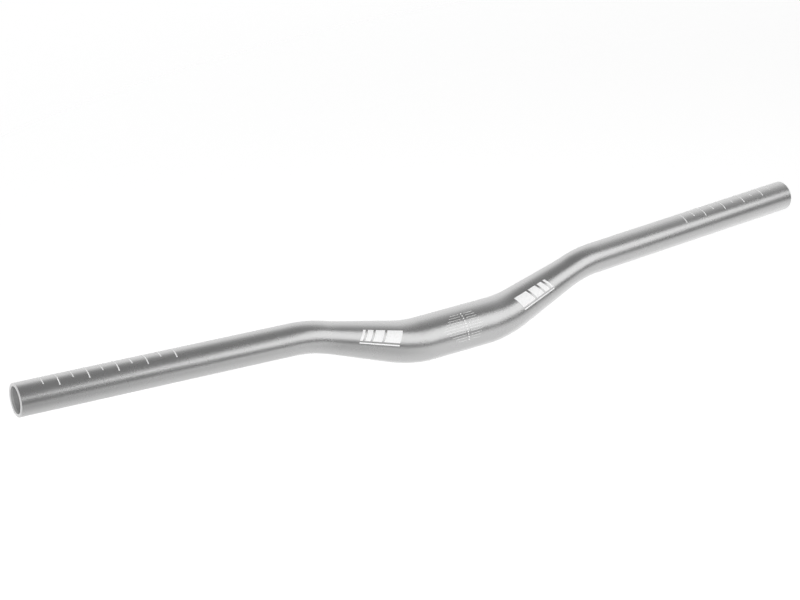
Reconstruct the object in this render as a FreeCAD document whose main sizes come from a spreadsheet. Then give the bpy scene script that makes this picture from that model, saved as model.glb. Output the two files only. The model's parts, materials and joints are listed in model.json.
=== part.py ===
import FreeCAD, Part
import os
from math import cos, pi, radians, sin

import Sketcher

# A bicycle riser handlebar: one aluminium tube, thick where the stem clamps it, swaged down to the grips,
# bent twice on each side, and cut to length with open ends.
# Frame: origin at the middle of the clamp, +X along the bar to its right end, +Y back to the rider, +Z up.

# Driving dimensions in millimetres and degrees: name, value, what it measures
dimensions = [
    ("bar_width", 640, "between the centres of the two cut ends, along X"),
    ("clamp_diameter", 31.8, "outside, where the stem clamps"),
    ("clamp_length", 48, "straight length of full diameter at the middle"),
    ("clamp_wall", 2.6, "wall at the middle"),
    ("rise_bend_radius", 100, "inner bend, at the centre of the tube"),
    ("rise_bend_angle", 16.5, "turn of the inner bend"),
    ("rise_bend_lean", 19.5, "lean of the inner bend's plane, back from upright"),
    ("rise_straight", 54, "straight length between the two bends"),
    ("grip_bend_radius", 90, "outer bend, at the centre of the tube"),
    ("grip_bend_angle", 14.6, "turn of the outer bend"),
    ("grip_bend_roll", 191, "roll of the tube in the bender between the two bends"),
    ("grip_diameter", 22.2, "outside, where grips and levers go"),
    ("grip_wall", 2.2, "wall at the grips"),
    ("taper_blend", 10, "length that rounds each end of the taper"),
    ("rim_round", 0.6, "rounding of a cut end's outer edge"),
    ("mouth_chamfer", 0.4, "chamfer of a cut end's inner edge"),
]

# Worked out from them: name, formula, what it is
derived = [
    ("rise_arc", "=rise_bend_radius * rise_bend_angle * pi / 180", "length of the inner bend"),
    ("taper_length", "=rise_arc + rise_straight", "from the clamp's end to the outer bend's start"),
    ("rise_cone", "=rise_straight - taper_blend", "length of plain cone on the rise"),
    ("rise_reach", "=clamp_length / 2 + rise_bend_radius * sin(rise_bend_angle)"
     " + rise_straight * cos(rise_bend_angle)", "X of the outer bend's start"),
    ("level_turn", "=sin(rise_bend_angle) * cos(grip_bend_roll)", "turn of the rise back to level"),
    ("bend_reach", "=grip_bend_radius * (sin(grip_bend_angle) * cos(rise_bend_angle)"
     " - (1 - cos(grip_bend_angle)) * level_turn)", "X that the outer bend covers"),
    ("grip_slope", "=cos(rise_bend_angle) * cos(grip_bend_angle) - sin(grip_bend_angle) * level_turn",
     "X that 1 mm of the grip covers"),
    ("grip_straight", "=(bar_width / 2 - rise_reach - bend_reach) / grip_slope", "straight length of a grip"),
    ("clamp_bore", "=clamp_diameter - 2 * clamp_wall", "inside diameter at the middle"),
    ("grip_bore", "=grip_diameter - 2 * grip_wall", "inside diameter at the grips"),
]

# How many steps of the taper are set along the inner bend and along the blend at its end
bend_steps = 4
blend_steps = 2

edge_tolerance = 0.01


def make_sheet(doc):
    sheet = doc.addObject("Spreadsheet::Sheet", "sizes")
    for row, (name, value, note) in enumerate(dimensions + derived, start=1):
        sheet.set(f"A{row}", name)
        sheet.set(f"B{row}", str(value))
        sheet.setAlias(f"B{row}", name)
        sheet.set(f"C{row}", note)
    doc.recompute()
    return sheet


def point(x, y):
    return FreeCAD.Vector(x, y, 0)


def turned_about_x(degrees):
    return FreeCAD.Placement(FreeCAD.Vector(), FreeCAD.Rotation(FreeCAD.Vector(1, 0, 0), degrees))


def bind(sketch, name, expression, kind, geometry, value):
    index = sketch.addConstraint(Sketcher.Constraint(kind, geometry, value))
    sketch.renameConstraint(index, name)
    sketch.setExpression(f"Constraints.{name}", expression)


def add_bend(sketch, sheet, name, straight_name, start):
    # An arc that leaves the sketch's X axis at start and turns left, then a straight run
    radius = sheet.get(f"{name}_bend_radius")
    angle = radians(sheet.get(f"{name}_bend_angle"))
    straight = sheet.get(straight_name)
    circle = Part.Circle(point(start, radius), FreeCAD.Vector(0, 0, 1), radius)
    bend = sketch.addGeometry(Part.ArcOfCircle(circle, -pi / 2, angle - pi / 2))
    bend_end = point(start + radius * sin(angle), radius * (1 - cos(angle)))
    run_end = bend_end + point(cos(angle), sin(angle)) * straight
    run = sketch.addGeometry(Part.LineSegment(bend_end, run_end))
    sketch.addConstraint(Sketcher.Constraint("Tangent", bend, 2, run, 1))
    bind(sketch, "bend_radius", f"sizes.{name}_bend_radius", "Radius", bend, radius)
    bind(sketch, "bend_angle", f"sizes.{name}_bend_angle * 1 deg", "Angle", run, angle)
    bind(sketch, "straight", f"sizes.{straight_name}", "Distance", run, straight)
    return bend, run


def make_rise_path(body, sheet, planes):
    # Half of the clamp, the inner bend, the rise's cone and its blend, in a plane that leans back about X
    sketch = body.newObject("Sketcher::SketchObject", "rise_path")
    sketch.AttachmentSupport = [(planes["XZ_Plane"], "")]
    sketch.MapMode = "FlatFace"
    sketch.AttachmentOffset = turned_about_x(-sheet.get("rise_bend_lean"))
    sketch.setExpression("AttachmentOffset.Rotation.Angle", "-sizes.rise_bend_lean * 1 deg")
    half = sheet.get("clamp_length") / 2
    clamp = sketch.addGeometry(Part.LineSegment(point(0, 0), point(half, 0)))
    sketch.addConstraint(Sketcher.Constraint("Coincident", clamp, 1, -1, 1))
    sketch.addConstraint(Sketcher.Constraint("Horizontal", clamp))
    bind(sketch, "clamp_half", "sizes.clamp_length / 2", "Distance", clamp, half)
    bend, cone = add_bend(sketch, sheet, "rise", "rise_cone", half)
    sketch.addConstraint(Sketcher.Constraint("Tangent", clamp, 2, bend, 1))
    cone_end = sketch.Geometry[cone].EndPoint
    along = (cone_end - sketch.Geometry[cone].StartPoint).normalize()
    blend_length = sheet.get("taper_blend")
    blend = sketch.addGeometry(Part.LineSegment(cone_end, cone_end + along * blend_length))
    sketch.addConstraint(Sketcher.Constraint("Tangent", cone, 2, blend, 1))
    bind(sketch, "blend", "sizes.taper_blend", "Distance", blend, blend_length)
    return sketch


def make_grip_path(body, sheet, rise_path):
    # The outer bend and the grip, in the inner bend's plane moved along the rise and rolled about it
    sketch = body.newObject("Sketcher::SketchObject", "grip_path")
    sketch.AttachmentSupport = [(rise_path, "Edge2")]
    sketch.MapMode = "FrenetTN"
    sketch.MapPathParameter = 1
    sketch.AttachmentOffset = turned_about_x(sheet.get("grip_bend_roll"))
    sketch.setExpression("AttachmentOffset.Rotation.Angle", "sizes.grip_bend_roll * 1 deg")
    sketch.setExpression("AttachmentOffset.Base.x", "sizes.rise_straight")
    bend, _ = add_bend(sketch, sheet, "grip", "grip_straight", 0)
    sketch.addConstraint(Sketcher.Constraint("Coincident", bend, 1, -1, 1))
    sketch.addConstraint(Sketcher.Constraint("PointOnObject", bend, 3, -2))
    return sketch


def section(body, name, path, edge, share, diameter):
    # A circle square to the path, at a share of one of its edges
    sketch = body.newObject("Sketcher::SketchObject", name)
    sketch.AttachmentSupport = [(path, edge)]
    sketch.MapMode = "NormalToEdge"
    sketch.MapPathParameter = share
    circle = sketch.addGeometry(Part.Circle(point(0, 0), FreeCAD.Vector(0, 0, 1), 1))
    sketch.addConstraint(Sketcher.Constraint("Coincident", circle, 3, -1, 1))
    bind(sketch, "diameter", diameter, "Diameter", circle, 2)
    return sketch


def taper_diameter(large, small, along):
    # Falls steadily from large to small, with a parabola over the first and the last taper_blend
    past_start = f"max(0; {along} - sizes.taper_blend)"
    past_end = f"max(0; {along} - sizes.taper_length + sizes.taper_blend)"
    share = (f"(({along})^2 - {past_start}^2 - {past_end}^2)"
             " / (2 * sizes.taper_blend * (sizes.taper_length - sizes.taper_blend))")
    return f"{large} - ({large} - {small}) * {share}"


def taper_sections(body, name, rise_path, edge, start, length, steps, large, small):
    # Sections at even steps of one edge of the path, which covers this stretch of the taper
    sketches = []
    for step in range(steps + 1):
        share = step / steps
        diameter = taper_diameter(large, small, f"{start} + {share} * {length}")
        sketches.append(section(body, f"{name}_section_{step}", rise_path, edge, share, diameter))
    return sketches


def right_half(body, name, rise_path, grip_path, adds, large, small):
    # From the middle out: straight clamp, tapering bend, plain cone, the taper's end, bend into the grip
    kind = "PartDesign::Additive" if adds else "PartDesign::Subtractive"
    clamp = body.newObject("PartDesign::Pad" if adds else "PartDesign::Pocket", f"{name}_clamp")
    clamp.Profile = section(body, f"{name}_clamp_section", rise_path, "Edge1", 0, large)
    clamp.Reversed = adds
    clamp.setExpression("Length", "sizes.clamp_length / 2")
    features = [clamp]
    stretches = [
        ("bend", "Pipe", "Edge2", "0", "sizes.rise_arc", bend_steps),
        ("cone", "Loft", "Edge3", "sizes.rise_arc", "sizes.rise_cone", 1),
        ("blend", "Pipe", "Edge4", "sizes.rise_arc + sizes.rise_cone", "sizes.taper_blend", blend_steps),
    ]
    for stretch, shape, edge, start, length, steps in stretches:
        label = f"{name}_{stretch}"
        sketches = taper_sections(body, label, rise_path, edge, start, length, steps, large, small)
        feature = body.newObject(kind + shape, label)
        feature.Profile = sketches[0]
        feature.Sections = sketches[1:]
        if shape == "Pipe":
            feature.Spine = (rise_path, [edge])
            feature.Transformation = "Multisection"
        else:
            feature.Ruled = True
        features.append(feature)
    grip = body.newObject(kind + "Pipe", f"{name}_grip")
    grip.Spine = (grip_path, ["Edge1", "Edge2"])
    grip.Profile = section(body, f"{name}_grip_section", grip_path, "Edge1", 0, small)
    return features + [grip]


def end_edges(shape, diameter, centre):
    # Names of the round edges of this diameter at the two cut ends, given the right one's centre
    names = []
    for number, edge in enumerate(shape.Edges, start=1):
        if edge.Curve.TypeId == "Part::GeomCircle":
            middle = edge.Curve.Center
            on_right = FreeCAD.Vector(abs(middle.x), middle.y, middle.z)
            at_end = on_right.distanceToPoint(centre) < edge_tolerance
            if at_end and abs(2 * edge.Curve.Radius - diameter) < edge_tolerance:
                names.append(f"Edge{number}")
    return names


def dress_ends(doc, body, base, kind, size, name, diameter, centre):
    feature = body.newObject(f"PartDesign::{kind}", f"{name}_edges")
    feature.Base = (base, end_edges(base.Shape, diameter, centre))
    feature.setExpression(size, f"sizes.{name}")
    body.Tip = feature
    doc.recompute()
    return feature


def make_tube(doc, sheet):
    body = doc.addObject("PartDesign::Body", "handlebar_tube")
    body.Label = "handlebar_tube"
    planes = {feature.Role: feature for feature in body.Origin.OriginFeatures}
    rise_path = make_rise_path(body, sheet, planes)
    grip_path = make_grip_path(body, sheet, rise_path)
    outside = right_half(body, "outside", rise_path, grip_path, True,
                         "sizes.clamp_diameter", "sizes.grip_diameter")
    bore = right_half(body, "bore", rise_path, grip_path, False, "sizes.clamp_bore", "sizes.grip_bore")
    both_sides = body.newObject("PartDesign::Mirrored", "both_sides")
    both_sides.Originals = outside + bore
    both_sides.MirrorPlane = (planes["YZ_Plane"], [""])
    body.Tip = both_sides
    doc.recompute()
    end_centre = grip_path.Shape.Edges[-1].lastVertex().Point
    rounded = dress_ends(doc, body, both_sides, "Fillet", "Radius", "rim_round",
                         sheet.get("grip_diameter"), end_centre)
    dress_ends(doc, body, rounded, "Chamfer", "Size", "mouth_chamfer", sheet.get("grip_bore"), end_centre)
    return body


def check(doc, body):
    for item in doc.Objects:
        if "Invalid" in item.State or "Error" in item.State:
            raise RuntimeError(f"{item.Label} failed: {item.State}")
    shape = body.Shape
    if shape.isNull() or not shape.isValid() or len(shape.Solids) != 1:
        raise RuntimeError(f"{body.Label} is not one valid solid")


document = FreeCAD.newDocument("riser_handlebar")
size_sheet = make_sheet(document)
tube = make_tube(document, size_sheet)
check(document, tube)
os.makedirs("parts", exist_ok=True)
tube.Shape.exportStep(f"parts/{tube.Label}.step")
print(f"{tube.Label}: {tube.Shape.Volume:.0f} mm3, grips {size_sheet.get('grip_straight'):.2f} mm straight")
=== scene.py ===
import json
from math import ceil, cos, pi, radians, sin, sqrt

import bmesh
import bpy
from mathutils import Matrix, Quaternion, Vector


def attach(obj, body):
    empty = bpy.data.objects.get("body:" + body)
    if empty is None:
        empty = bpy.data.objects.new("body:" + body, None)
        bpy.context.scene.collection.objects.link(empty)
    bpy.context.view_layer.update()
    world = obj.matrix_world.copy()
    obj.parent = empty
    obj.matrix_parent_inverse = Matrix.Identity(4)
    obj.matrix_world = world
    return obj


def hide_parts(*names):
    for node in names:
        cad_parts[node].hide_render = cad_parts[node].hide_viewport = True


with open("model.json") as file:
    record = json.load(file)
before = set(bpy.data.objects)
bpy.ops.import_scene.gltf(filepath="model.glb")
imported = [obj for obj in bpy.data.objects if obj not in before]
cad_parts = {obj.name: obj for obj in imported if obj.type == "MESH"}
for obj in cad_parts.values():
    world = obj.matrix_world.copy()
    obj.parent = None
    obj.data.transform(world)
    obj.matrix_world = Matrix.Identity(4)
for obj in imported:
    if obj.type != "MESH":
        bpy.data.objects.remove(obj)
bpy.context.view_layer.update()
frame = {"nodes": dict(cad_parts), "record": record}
mm = 0.001
mountDims = {mount["name"]: mount["dims"] for mount in frame["record"]["mounts"]}
print("frame loaded:", ", ".join(frame["nodes"]))

# The bar's form in millimetres and degrees, as in the CAD
barForm = {
    "width": 640,                                       # between the centres of the cut ends
    "clampLength": mountDims["stem_clamp"]["length_mm"],
    "clampRadius": mountDims["stem_clamp"]["r_mm"],
    "clampWall": 2.6,
    "riseBendRadius": 100, "riseBendAngle": 16.5, "riseBendLean": 19.5,
    "riseStraight": 54,
    "gripBendRadius": 90, "gripBendAngle": 14.6, "gripBendRoll": 191,
    "gripRadius": mountDims["right_grip"]["r_mm"],
    "gripBore": mountDims["right_end_bore"]["r_mm"],
    "taperBlend": 10,                                   # rounds both ends of the taper
    "rimRound": 0.6, "mouthChamfer": 0.4,
}
riseArc = barForm["riseBendRadius"] * radians(barForm["riseBendAngle"])
gripArc = barForm["gripBendRadius"] * radians(barForm["gripBendAngle"])
taperStart = barForm["clampLength"] / 2
taperLength = riseArc + barForm["riseStraight"]


def follow(run, distance):
    # Place, heading and direction to the centre of the bend, part of the way along a run
    ahead, inward, radius = run["heading"], run["inward"], run["radius"]
    if not radius:
        return run["place"] + ahead * distance, ahead, inward
    turn = distance / radius
    place = run["place"] + (ahead * sin(turn) + inward * (1 - cos(turn))) * radius
    return place, ahead * cos(turn) + inward * sin(turn), inward * cos(turn) - ahead * sin(turn)


def layCentreline():
    # Right half, from the middle out, bent as a tube bender does it: feed, bend, feed, roll, bend, feed
    lean = radians(barForm["riseBendLean"])
    place, heading, inward = Vector(), Vector((1, 0, 0)), Vector((0, sin(lean), cos(lean)))
    feeds = [                                           # length, bend radius or 0, roll before it
        (taperStart, 0, 0),
        (riseArc, barForm["riseBendRadius"], 0),
        (barForm["riseStraight"], 0, 0),
        (gripArc, barForm["gripBendRadius"], radians(barForm["gripBendRoll"])),
        (None, 0, 0),                                   # on to the cut end
    ]
    runs, done = [], 0
    for length, radius, roll in feeds:
        if length is None:
            length = (barForm["width"] / 2 - place.x) / heading.x
        inward = inward * cos(roll) + heading.cross(inward) * sin(roll)
        runs.append({"start": done, "length": length, "radius": radius,
                     "place": place, "heading": heading, "inward": inward})
        place, heading, inward = follow(runs[-1], length)
        done += length
    return runs


centreline = layCentreline()
barEnd = centreline[-1]["start"] + centreline[-1]["length"]


def onBar(along, turn, reach):
    # A point this far along from the middle (left is minus), turned from the top towards the front
    run = [run for run in centreline if run["start"] <= abs(along)][-1]
    place, heading, _ = follow(run, abs(along) - run["start"])
    if along < 0:
        place = Vector((-place.x, place.y, place.z))
        heading = Vector((heading.x, -heading.y, -heading.z))
    top = (Vector((0, 0, 1)) - heading * heading.z).normalized()
    front = heading.cross(top)
    return (place + (top * cos(turn) + front * sin(turn)) * reach) * mm


def taperShare(along):
    # 0 on the clamp and 1 on the grips: a straight cone between them, with a parabola at each end
    blend = barForm["taperBlend"]
    past = min(max(abs(along) - taperStart, 0), taperLength)
    bends = max(0, past - blend) ** 2 + max(0, past - taperLength + blend) ** 2
    return (past ** 2 - bends) / (2 * blend * (taperLength - blend))


def outsideRadius(along):
    share = taperShare(along)
    return barForm["clampRadius"] * (1 - share) + barForm["gripRadius"] * share


def boreRadius(along):
    share = taperShare(along)
    return (barForm["clampRadius"] - barForm["clampWall"]) * (1 - share) + barForm["gripBore"] * share


print(f"centreline laid: {2 * barEnd:.1f} mm long")


# Materials

noiseLow, noiseHigh = 0.3, 0.7                          # most of a noise pattern lies between these
mixFrom, mixTo, mixResult = 6, 7, 2                     # the colour sockets of a Mix node
smooth = {"interpolation_type": "SMOOTHSTEP"}           # for fades that start and end softly


def linear(hexColour):
    # sRGB hex to the linear colour that Blender's sockets take
    channels = [int(hexColour[i:i + 2], 16) / 255 for i in (1, 3, 5)]
    return [c / 12.92 if c <= 0.04045 else ((c + 0.055) / 1.055) ** 2.4 for c in channels] + [1]


def setInputs(tree, node, inputs):
    # A value or a link for each input
    for name, value in inputs.items():
        if isinstance(value, bpy.types.NodeSocket):
            tree.links.new(value, node.inputs[name])
        else:
            node.inputs[name].default_value = value


def addNode(tree, kind, settings, inputs):
    node = tree.nodes.new("ShaderNode" + kind)
    for name, value in settings.items():
        setattr(node, name, value)
    setInputs(tree, node, inputs)
    return node


def startMaterial(name):
    material = bpy.data.materials.new(name)
    material.use_nodes = True
    tree = material.node_tree
    place = addNode(tree, "TexCoord", {}, {}).outputs["Object"]
    return material, tree, tree.nodes["Principled BSDF"], place


def dressSurface(tree, surface, look, tone, wear, grain):
    # Colour follows one pattern, roughness a second and relief a third
    colour = addNode(tree, "Mix", {"data_type": "RGBA"}, {
        "Factor": tone, mixFrom: linear(look["dull"]), mixTo: linear(look["colour"])})
    roughness = addNode(tree, "MapRange", {}, {
        "Value": wear, "From Min": noiseLow, "From Max": noiseHigh,
        "To Min": look["roughness"][0], "To Max": look["roughness"][1]})
    relief = addNode(tree, "Bump", {}, {"Distance": look["depth"] * mm, "Height": grain})
    setInputs(tree, surface, {
        "Base Color": colour.outputs[mixResult], "Roughness": roughness.outputs[0],
        "Normal": relief.outputs[0], "Metallic": look["metal"]})
    return roughness.outputs[0]


def makeAnodised():
    # Clear oxide over bead-blasted metal: a soft grey sheen whose edges break up into fine sparkle
    look = {
        "colour": "#cacaca", "dull": "#c4c4c4", "metal": 1,
        "crater": 0.62, "depth": 0.052,                 # mm; drawn coarser than the real 0.15, to show
        "cloud": 16, "roughness": (0.26, 0.28),         # mm across patches blasted more or less
        "smear": 45, "smearRoughness": 0.02,            # mm across faint marks of handling
        "smearFrom": 0.55, "smearTo": 0.75,             # where in the pattern a mark starts and is full
        "oxide": 0.6, "oxideRoughness": 0.35, "oxideIor": 1.6,
    }
    material, tree, surface, place = startMaterial("clearAnodisedAluminiumBeadBlasted")
    craters = addNode(tree, "TexNoise", {}, {
        "Vector": place, "Scale": 1 / (look["crater"] * mm), "Detail": 2, "Roughness": 0.6})
    clouds = addNode(tree, "TexNoise", {}, {
        "Vector": place, "Scale": 1 / (look["cloud"] * mm), "Detail": 3})
    smears = addNode(tree, "TexNoise", {}, {
        "Vector": place, "Scale": 1 / (look["smear"] * mm), "Detail": 4, "Distortion": 1.5})
    smeared = addNode(tree, "MapRange", {}, {
        "Value": smears.outputs[0], "From Min": look["smearFrom"], "From Max": look["smearTo"],
        "To Max": look["smearRoughness"]})
    cloud = clouds.outputs[0]
    blasted = dressSurface(tree, surface, look, cloud, cloud, craters.outputs[0])
    roughness = addNode(tree, "Math", {"operation": "ADD"}, {0: blasted, 1: smeared.outputs[0]})
    setInputs(tree, surface, {
        "Roughness": roughness.outputs[0], "Coat Weight": look["oxide"],
        "Coat Roughness": look["oxideRoughness"], "Coat IOR": look["oxideIor"]})
    return material


def makeBareCut():
    # Bright metal where the saw went through, whose fine straight lines scatter part of the light
    look = {
        "colour": "#efefef", "dull": "#dcdcdc", "metal": 0.6,
        "line": 0.35, "lineLength": 3.5, "depth": 0.01,  # mm
        "roughness": (0.3, 0.45),
    }
    material, tree, surface, place = startMaterial("bareAluminiumSawnAndDeburred")
    stretch = look["line"] / look["lineLength"]
    drawnOut = addNode(tree, "Mapping", {}, {"Vector": place, "Scale": (stretch, stretch, 1)})
    lines = addNode(tree, "TexNoise", {}, {
        "Vector": drawnOut.outputs[0], "Scale": 1 / (look["line"] * mm), "Detail": 2}).outputs[0]
    dressSurface(tree, surface, look, lines, lines, lines)
    return material


def makeDrawnBore():
    # The plug of the drawing bench leaves long lines, and the oxide over them is dull and not blasted
    look = {
        "colour": "#c0c0c0", "dull": "#a6a6a6", "metal": 0.3,
        "line": 0.7, "lineLength": 40, "depth": 0.02,   # mm
        "roughness": (0.45, 0.6),
    }
    material, tree, surface, place = startMaterial("anodisedDrawnAluminiumBore")
    stretch = look["line"] / look["lineLength"]
    drawnOut = addNode(tree, "Mapping", {}, {"Vector": place, "Scale": (stretch, 1, 1)})
    lines = addNode(tree, "TexNoise", {}, {
        "Vector": drawnOut.outputs[0], "Scale": 1 / (look["line"] * mm), "Detail": 3}).outputs[0]
    dressSurface(tree, surface, look, lines, lines, lines)
    return material


def makeInk():
    # Ink stamped on with a soft pad: an even matt white, a little thin in places
    look = {
        "colour": "#f7f7f7", "dull": "#ececec", "metal": 0,
        "patch": 1.2, "depth": 0.01,                    # mm
        "thinAt": 0.25, "fullAt": 0.55,                 # where in the pattern the ink is thin and full
        "roughness": (0.45, 0.6),
    }
    material, tree, surface, place = startMaterial("whitePadPrintInk")
    patches = addNode(tree, "TexNoise", {}, {
        "Vector": place, "Scale": 1 / (look["patch"] * mm), "Detail": 3}).outputs[0]
    cover = addNode(tree, "MapRange", {}, {
        "Value": patches, "From Min": look["thinAt"], "From Max": look["fullAt"]})
    dressSurface(tree, surface, look, cover.outputs[0], patches, patches)
    return material


anodised, bareCut, drawnBore, ink = makeAnodised(), makeBareCut(), makeDrawnBore(), makeInk()
print("materials made")


# The tube, as one closed skin: outside from left to right, cut end, bore back to the left, cut end

tubeMesh = {
    "around": 144,                                      # points in a ring
    "straightStep": 6, "taperStep": 2, "bendStep": 1.2,  # mm between rings
    "roundSteps": 6,
    "supportLoop": 0.3,                                 # mm from a rim, to keep its shading off the tube
    "scraped": 1.2,                                     # mm of bore that the deburring tool brightens
    "sharpAngle": 30,
}
onOutside, onCut, onBore = 0, 1, 2                      # places in the tube's list of materials


def addPiece(name, points, faces, materials):
    mesh = bpy.data.meshes.new(name)
    mesh.from_pydata(points, [], faces)
    for material in materials:
        mesh.materials.append(material)
    shape = bmesh.new()
    shape.from_mesh(mesh)
    bmesh.ops.recalc_face_normals(shape, faces=shape.faces)
    shape.to_mesh(mesh)
    shape.free()
    piece = bpy.data.objects.new(name, mesh)
    bpy.context.scene.collection.objects.link(piece)
    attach(piece, "root")
    return piece


def ringStations(inset):
    # Distances along the bar from left to right, up to inset from the cut ends
    half = []
    for run in centreline:
        tapers = taperStart <= run["start"] < taperStart + taperLength
        step = tubeMesh["bendStep" if run["radius"] else "taperStep" if tapers else "straightStep"]
        count = ceil(run["length"] / step)
        half += [run["start"] + run["length"] * i / count for i in range(count)]
    last = barEnd - inset - tubeMesh["supportLoop"]
    half = [along for along in half if along < last] + [last]
    return [-along for along in half[:0:-1]] + half


def rimRings():
    # From the outside over the rounded rim, across the cut face and into the bore
    rim, steps = barForm["rimRound"], tubeMesh["roundSteps"]
    turns = [pi / 2 * i / steps for i in range(steps + 1)]
    rings = [(barEnd - rim + rim * sin(turn), barForm["gripRadius"] - rim + rim * cos(turn))
             for turn in turns]
    rings.append((barEnd, barForm["gripBore"] + barForm["mouthChamfer"]))
    rings.append((barEnd - barForm["mouthChamfer"], barForm["gripBore"]))
    return rings


def makeTube():
    # Each ring names the finish of the band that follows it
    rim = rimRings()
    outside = [(along, outsideRadius(along), onOutside) for along in ringStations(barForm["rimRound"])]
    rightRim = [(along, radius, onCut) for along, radius in rim]
    insideStations = ringStations(barForm["mouthChamfer"] + tubeMesh["scraped"])
    inside = [(along, boreRadius(along), onBore) for along in insideStations[:0:-1]]
    inside.append((insideStations[0], boreRadius(insideStations[0]), onCut))
    leftRim = [(-along, radius, onCut) for along, radius in rim[:0:-1]]
    leftRim.append((-rim[0][0], rim[0][1], onOutside))
    rings = outside + rightRim + inside + leftRim
    around = tubeMesh["around"]
    points, faces, finishes = [], [], []
    for number, (along, radius, finish) in enumerate(rings):
        points += [onBar(along, 2 * pi * i / around, radius) for i in range(around)]
        here, after = number * around, (number + 1) % len(rings) * around
        for i in range(around):
            j = (i + 1) % around
            faces.append((here + i, here + j, after + j, after + i))
            finishes.append(finish)
    tube = addPiece("anodisedTube", points, faces, [anodised, bareCut, drawnBore])
    tube.data.polygons.foreach_set("material_index", finishes)
    tube.data.shade_smooth()
    tube.data.set_sharp_from_angle(angle=radians(tubeMesh["sharpAngle"]))
    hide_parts("handlebar_tube")
    return tube


tube = makeTube()
print(f"tube made: {len(tube.data.polygons)} faces")


# Print: each mark is a thin closed strip of ink that follows the bar's surface

inkFilm = {
    "proud": 0.05, "sunk": 0.03,                        # mm above and below the metal's surface
    "alongStep": 1.5, "turnStep": 3,                    # mm along and degrees round, between rows
}


class PadPrint:
    def __init__(self):
        self.points, self.faces = [], []

    def addStrip(self, rows):
        # Rows of a strip, each with the place (mm along, radians from the top) of its two edges
        start = len(self.points)
        for row in rows:
            for height in (inkFilm["proud"], -inkFilm["sunk"]):
                self.points += [onBar(along, turn, outsideRadius(along) + height) for along, turn in row]
        perRow = 4                                      # two edges above the surface and two below
        last = len(self.points) - perRow
        for a in range(start, last, perRow):
            b = a + perRow
            self.faces += [(a, a + 1, b + 1, b), (a + 1, a + 3, b + 3, b + 1),
                           (a + 3, a + 2, b + 2, b + 3), (a + 2, a, b, b + 2)]
        self.faces += [(start, start + 2, start + 3, start + 1), (last, last + 1, last + 3, last + 2)]

    def addMark(self, left, right, top, bottom, slant=0):
        # A bar round the tube between two turns, in radians, whose lower end is moved along by slant
        count = ceil((bottom - top) / radians(inkFilm["turnStep"]))
        shares = [i / count for i in range(count + 1)]
        self.addStrip([[(along + slant * share, top + (bottom - top) * share) for along in (left, right)]
                       for share in shares])

    def finish(self, name):
        piece = addPiece(name, self.points, self.faces, [ink])
        print(f"{name} printed: {len(piece.data.polygons)} faces")


cutMarks = {
    "count": 10, "pitch": 10.05, "first": 17.2,         # mm, the first one from the cut end
    "width": 0.7,
    "shortTurn": 24.3, "longTurn": 40.6,                # degrees to each side of the top
    "skew": -0.09,                                      # degrees per mm, from a print jig that sits askew
}


def printCutMarks(name, side):
    marks = PadPrint()
    middle = barEnd - cutMarks["first"] - cutMarks["pitch"] * (cutMarks["count"] - 1) / 2
    half = cutMarks["width"] / 2
    for number in range(cutMarks["count"]):
        along = side * (barEnd - cutMarks["first"] - cutMarks["pitch"] * number)
        reach = radians(cutMarks["longTurn" if number % 2 else "shortTurn"])
        shift = radians(cutMarks["skew"] * (along - side * middle))
        marks.addMark(along - half, along + half, shift - reach, shift + reach)
    marks.finish(name)


centreScale = {
    "rows": 11, "firstTurn": 24.5, "pitchTurn": 7.1,    # degrees from the top towards the front
    "dot": 1.05, "dotRows": 8, "lean": 1.0,             # mm that the last dot stands to the right
    "lineWidth": 0.22,
    "leftGap": 2.0, "rightGap": 2.3,                    # mm from the dots' centres to the lines
    "leftShort": 9.1, "leftLong": 19.0,                 # mm to the lines' ends, at the first row and midway
    "rightShort": 9.0, "rightLong": 14.0,
}


def printCentreScale():
    scale = PadPrint()
    form = centreScale
    last = form["rows"] - 1
    radius = outsideRadius(0)
    half = form["lineWidth"] / 2 / radius
    dotRadius, dotRows = form["dot"] / 2, form["dotRows"]
    heights = [dotRadius * cos(pi * (i + 0.5) / dotRows) for i in range(dotRows)]
    for row in range(form["rows"]):
        turn = radians(form["firstTurn"] + form["pitchTurn"] * row)
        along = form["lean"] * (row / last) ** 2
        swell = 1 - abs(2 * row / last - 1)             # 0 at the first and last row, 1 in the middle
        for side, name in ((-1, "left"), (1, "right")):
            reach = form[name + "Short"] + (form[name + "Long"] - form[name + "Short"]) * swell
            ends = [along + side * form[name + "Gap"], along + side * reach]
            scale.addStrip([[(end, turn - half), (end, turn + half)] for end in ends])
        scale.addStrip([[(along + side * sqrt(dotRadius ** 2 - height ** 2), turn + height / radius)
                         for side in (-1, 1)] for height in heights])
    scale.finish("centreScale")


riseBlocks = {
    "lengths": (12, 7, 4, 2), "gap": 1.8, "slant": 3,   # mm, from the clamp out
    "height": 36, "rule": (41, 45),                     # degrees round the bar from the top of the blocks
    "left": (51, 37), "right": (48, 30),                # mm from the middle, and degrees from the top
}


def printRiseBlocks(name, side, place):
    blocks = PadPrint()
    start, topTurn = place
    top, bottom = radians(topTurn), radians(topTurn + riseBlocks["height"])
    along = start
    for length in riseBlocks["lengths"]:
        blocks.addMark(side * along, side * (along + length), top, bottom, side * riseBlocks["slant"])
        along += length + riseBlocks["gap"]
    ruleTop, ruleBottom = (top + radians(turn) for turn in riseBlocks["rule"])
    ruleStart, ruleLength = start + riseBlocks["slant"], along - riseBlocks["gap"] - start
    count = ceil((along - start) / inkFilm["alongStep"])
    stations = [side * (ruleStart + ruleLength * i / count) for i in range(count + 1)]
    blocks.addStrip([[(station, ruleTop), (station, ruleBottom)] for station in stations])
    blocks.finish(name)


printCutMarks("leftCutMarks", -1)
printCutMarks("rightCutMarks", 1)
printCentreScale()
printRiseBlocks("leftRiseBlocks", -1, riseBlocks["left"])
printRiseBlocks("rightRiseBlocks", 1, riseBlocks["right"])


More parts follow.
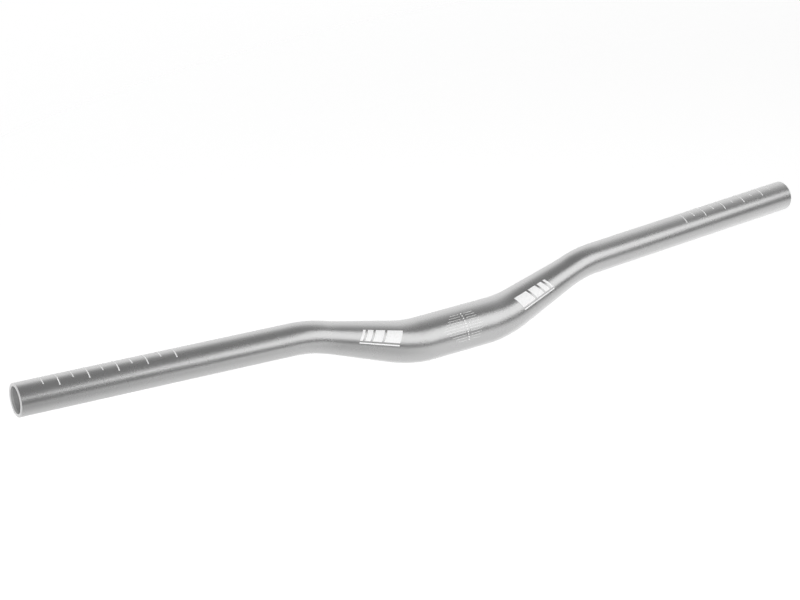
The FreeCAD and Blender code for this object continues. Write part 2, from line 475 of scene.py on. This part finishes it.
# The camera stands where the photograph was taken from

photoCamera = {
    "azimuth": -34.796, "elevation": 25.084,            # degrees, from the front to the right and up
    "distance": 1462.0,                                 # mm from the middle of the clamp
    "aimRight": -38.7, "aimUp": 20.1,                   # mm from there to where it points
    "focalPixels": 2093.8, "imageWidth": 800, "sensor": 36,
}


def directionTo(form):
    azimuth, elevation = radians(form["azimuth"]), radians(form["elevation"])
    return Vector((sin(azimuth) * cos(elevation), -cos(azimuth) * cos(elevation), sin(elevation)))


def makeCamera():
    back = directionTo(photoCamera)
    right = back.cross(Vector((0, 0, -1))).normalized()
    up = back.cross(right)
    aim = right * photoCamera["aimRight"] + up * photoCamera["aimUp"]
    place = back * photoCamera["distance"]
    data = bpy.data.cameras.new("photoCamera")
    data.sensor_width = photoCamera["sensor"]
    data.lens = photoCamera["sensor"] * photoCamera["focalPixels"] / photoCamera["imageWidth"]
    camera = bpy.data.objects.new("photoCamera", data)
    camera.location = place * mm
    camera.rotation_euler = (aim - place).to_track_quat("-Z", "Y").to_euler()
    bpy.context.scene.collection.objects.link(camera)
    bpy.context.scene.camera = camera


makeCamera()
print("camera set")


# A plain studio: a white backdrop, a grey wall to its left, a dim room, a softbox and a large fill

softbox = {
    "azimuth": 34.6, "elevation": 25.7, "roll": 31.6,   # degrees, from the front to the right and up
    "distance": 1500, "width": 1375, "height": 1049,    # mm
    "radiance": 1.09,                                   # 1 is white
    "inMetal": True,
}
fillBox = {
    "azimuth": -40, "elevation": 18, "roll": 0,
    "distance": 2200, "width": 4000, "height": 3500,
    "radiance": 1.45,
    "inMetal": False,                                   # lights print, cuts and floor, not the sheen
}
studio = {
    "backTurn": 34.8, "leftTurn": -70,                  # degrees from straight back to the right
    "backdrop": 1, "left": 0.55, "room": 0.265,         # radiance
    "wallFrom": 0.1, "wallTo": 0.77,                    # how far round a wall fades in
    "upFrom": 0.56, "upTo": 1.01,                       # how far up it fades out
}
# The floor's colour holds painted shade and painted light, not the paper's own tone
floor = {
    "drop": 600, "size": 12000,                         # mm under the middle of the clamp, and across
    # painted shadow: the paper's colour greys round the spot under the camera, as if in the camera's shade
    "shaded": "#9c9c9c", "shadedSpot": (-756, -1087),   # mm; the dark band under the highlight mirrors it
    "shadedFrom": 600, "shadedTo": 1350,                # mm from that spot
    "middle": "#d8d8d8",
    # painted light: the paper's colour pales towards the backdrop, as if lit from behind
    "back": "#fbfbfb", "backFrom": 150, "backTo": 600,  # mm towards the backdrop
    "lift": 0.48,                                       # makes up for light that falls short of white
    "centre": (1600, -100),                             # mm
    "edgeFrom": 1600, "edgeTo": 2900,                   # mm from there, to pass softly into the room
}


def turnedBack(turn):
    # Level direction, turned from straight back to the right
    return Vector((sin(radians(turn)), cos(radians(turn)), 0))


def addLamp(name, form):
    away = directionTo(form)
    data = bpy.data.lights.new(name, "AREA")
    data.shape = "RECTANGLE"
    data.size, data.size_y = form["width"] * mm, form["height"] * mm
    data.energy = form["radiance"] * pi * data.size * data.size_y
    lamp = bpy.data.objects.new(name, data)
    lamp.location = away * form["distance"] * mm
    lamp.rotation_mode = "QUATERNION"
    facing = (-away).to_track_quat("-Z", "Y")
    lamp.rotation_quaternion = facing @ Quaternion((0, 0, 1), radians(form["roll"]))
    lamp.visible_camera = False
    lamp.visible_glossy = form["inMetal"]
    bpy.context.scene.collection.objects.link(lamp)


def makeStudio():
    world = bpy.data.worlds.new("plainStudio")
    world.use_nodes = True
    tree = world.node_tree
    direction = addNode(tree, "TexCoord", {}, {}).outputs["Generated"]
    height = addNode(tree, "SeparateXYZ", {}, {0: direction})
    under = addNode(tree, "MapRange", smooth, {
        "Value": height.outputs["Z"], "From Min": studio["upFrom"], "From Max": studio["upTo"],
        "To Min": 1, "To Max": 0})
    strength = studio["room"]
    for turn, radiance in ((studio["leftTurn"], studio["left"]), (studio["backTurn"], studio["backdrop"])):
        depth = addNode(tree, "VectorMath", {"operation": "DOT_PRODUCT"}, {
            0: direction, 1: turnedBack(turn)})
        wall = addNode(tree, "MapRange", smooth, {
            "Value": depth.outputs["Value"],
            "From Min": studio["wallFrom"], "From Max": studio["wallTo"]})
        share = addNode(tree, "Math", {"operation": "MULTIPLY"}, {0: wall.outputs[0], 1: under.outputs[0]})
        strength = addNode(tree, "MapRange", {}, {
            "Value": share.outputs[0], "To Min": strength, "To Max": radiance}).outputs[0]
    setInputs(tree, tree.nodes["Background"], {"Color": linear("#ffffff"), "Strength": strength})
    bpy.context.scene.world = world


def onFloor(x, y):
    return Vector((x, y, -floor["drop"])) * mm


def makeFloor():
    # Matt paper: it has no gloss, so only the shade and light painted into its colour and its soft shadows
    # show
    material, tree, surface, place = startMaterial("matteShadedPaper")
    fromSpot = addNode(tree, "VectorMath", {"operation": "DISTANCE"}, {
        0: place, 1: onFloor(*floor["shadedSpot"])})
    depth = addNode(tree, "VectorMath", {"operation": "DOT_PRODUCT"}, {
        0: place, 1: turnedBack(studio["backTurn"])})
    # Painted shadow round the camera's spot fading to the middle grey, then painted light towards the
    # backdrop
    colour = linear(floor["shaded"])
    for reach, edge, shade in ((fromSpot, "shaded", "middle"), (depth, "back", "back")):
        fade = addNode(tree, "MapRange", smooth, {
            "Value": reach.outputs["Value"],
            "From Min": floor[edge + "From"] * mm, "From Max": floor[edge + "To"] * mm})
        colour = addNode(tree, "Mix", {"data_type": "RGBA"}, {
            "Factor": fade.outputs[0], mixFrom: colour, mixTo: linear(floor[shade])}).outputs[mixResult]
    path = addNode(tree, "LightPath", {}, {})
    seen = path.outputs["Is Camera Ray"]
    for ray in ("Is Glossy Ray", "Is Transmission Ray"):
        seen = addNode(tree, "Math", {"operation": "ADD", "use_clamp": True}, {
            0: seen, 1: path.outputs[ray]}).outputs[0]
    lift = addNode(tree, "Math", {"operation": "MULTIPLY"}, {0: seen, 1: floor["lift"]})
    away = addNode(tree, "VectorMath", {"operation": "DISTANCE"}, {
        0: place, 1: onFloor(*floor["centre"])})
    cover = addNode(tree, "MapRange", smooth, {
        "Value": away.outputs["Value"],
        "From Min": floor["edgeFrom"] * mm, "From Max": floor["edgeTo"] * mm,
        "To Min": 1, "To Max": 0})
    setInputs(tree, surface, {
        "Base Color": colour, "Roughness": 1, "Specular IOR Level": 0,
        "Emission Color": colour, "Emission Strength": lift.outputs[0], "Alpha": cover.outputs[0]})
    half = floor["size"] / 2
    corners = [onFloor(-half, -half), onFloor(half, -half), onFloor(half, half), onFloor(-half, half)]
    mesh = bpy.data.meshes.new("paperFloor")
    mesh.from_pydata(corners, [], [(0, 1, 2, 3)])
    mesh.materials.append(material)
    paper = bpy.data.objects.new("paperFloor", mesh)
    bpy.context.scene.collection.objects.link(paper)


addLamp("softbox", softbox)
addLamp("fillBox", fillBox)
makeStudio()
makeFloor()
print("studio lit")

bpy.context.scene.view_settings.view_transform = "Standard"
